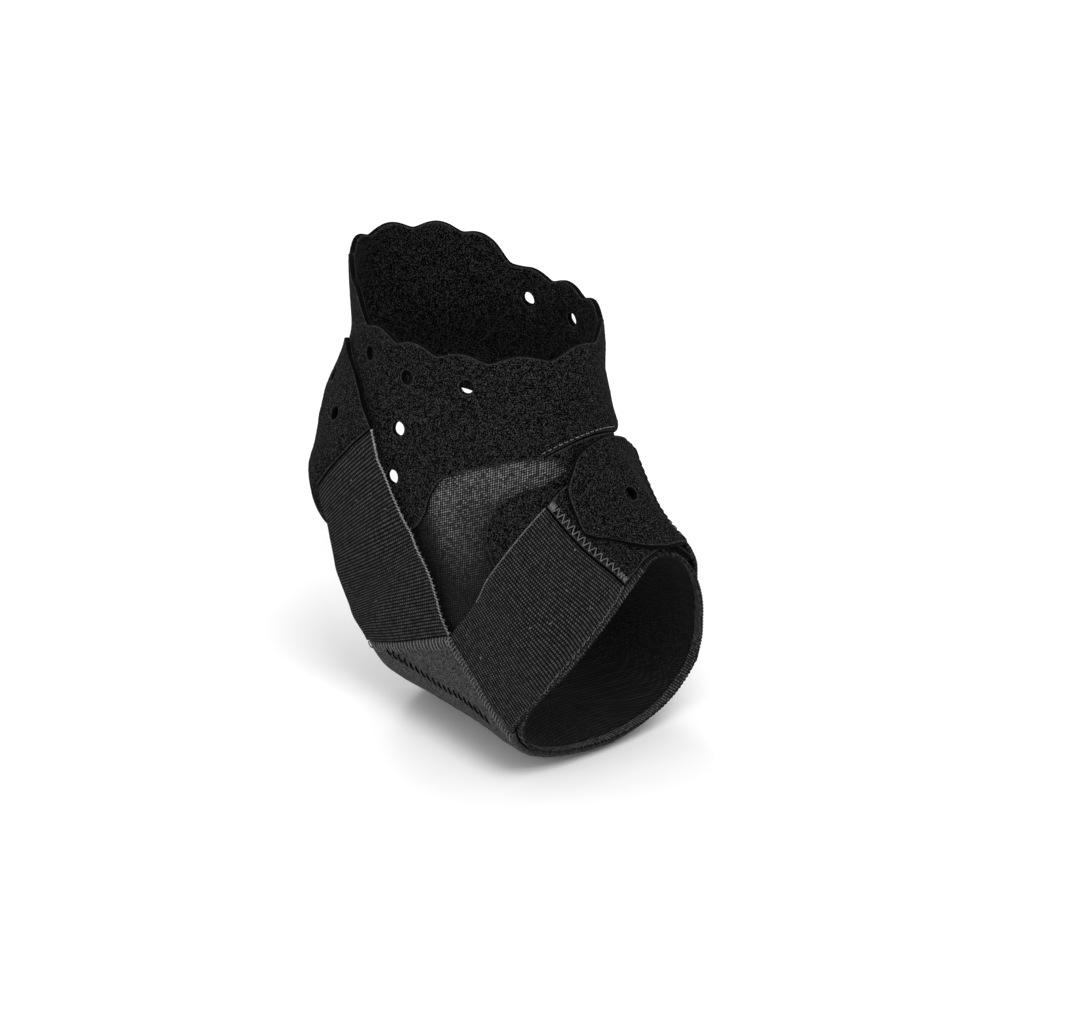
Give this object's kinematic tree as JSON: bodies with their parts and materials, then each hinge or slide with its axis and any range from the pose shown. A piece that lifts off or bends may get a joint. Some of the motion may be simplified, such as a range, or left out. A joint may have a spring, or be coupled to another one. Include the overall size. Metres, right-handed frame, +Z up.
{
  "type": "plantar fasciitis ankle brace",
  "caption": "Wrap-round ankle and arch brace for a right foot, with a sheer sleeve, a scalloped cuff and crossing elastic straps that lift a sole pad.",
  "frame": {"origin": "middle of the ankle inside the brace, where the wearer's ankle holds it", "axes": "+X towards the toes, +Y towards the inner side of a right foot, +Z up the leg"},
  "size_m": [0.1444, 0.0917, 0.1385],
  "materials": {
    "velour": "matte loop-pile velour",
    "elastic": "ribbed woven elastic",
    "pad_knit": "matte dense knit",
    "sheer_knit": "sheer open knit"
  },
  "bodies": {
    "root": {"mesh_sleeve": "sheer_knit", "front_hem": "sheer_knit", "ankle_cuff": "velour", "instep_tongue": "velour", "sole_pad": "pad_knit", "rear_strap_lateral": "elastic", "rear_strap_medial": "elastic", "rear_tab_lateral": "velour", "rear_tab_medial": "velour", "front_strap_lateral": "elastic", "front_strap_medial": "elastic", "front_tab_lateral": "velour", "front_tab_medial": "velour"}
  },
  "joints": []
}
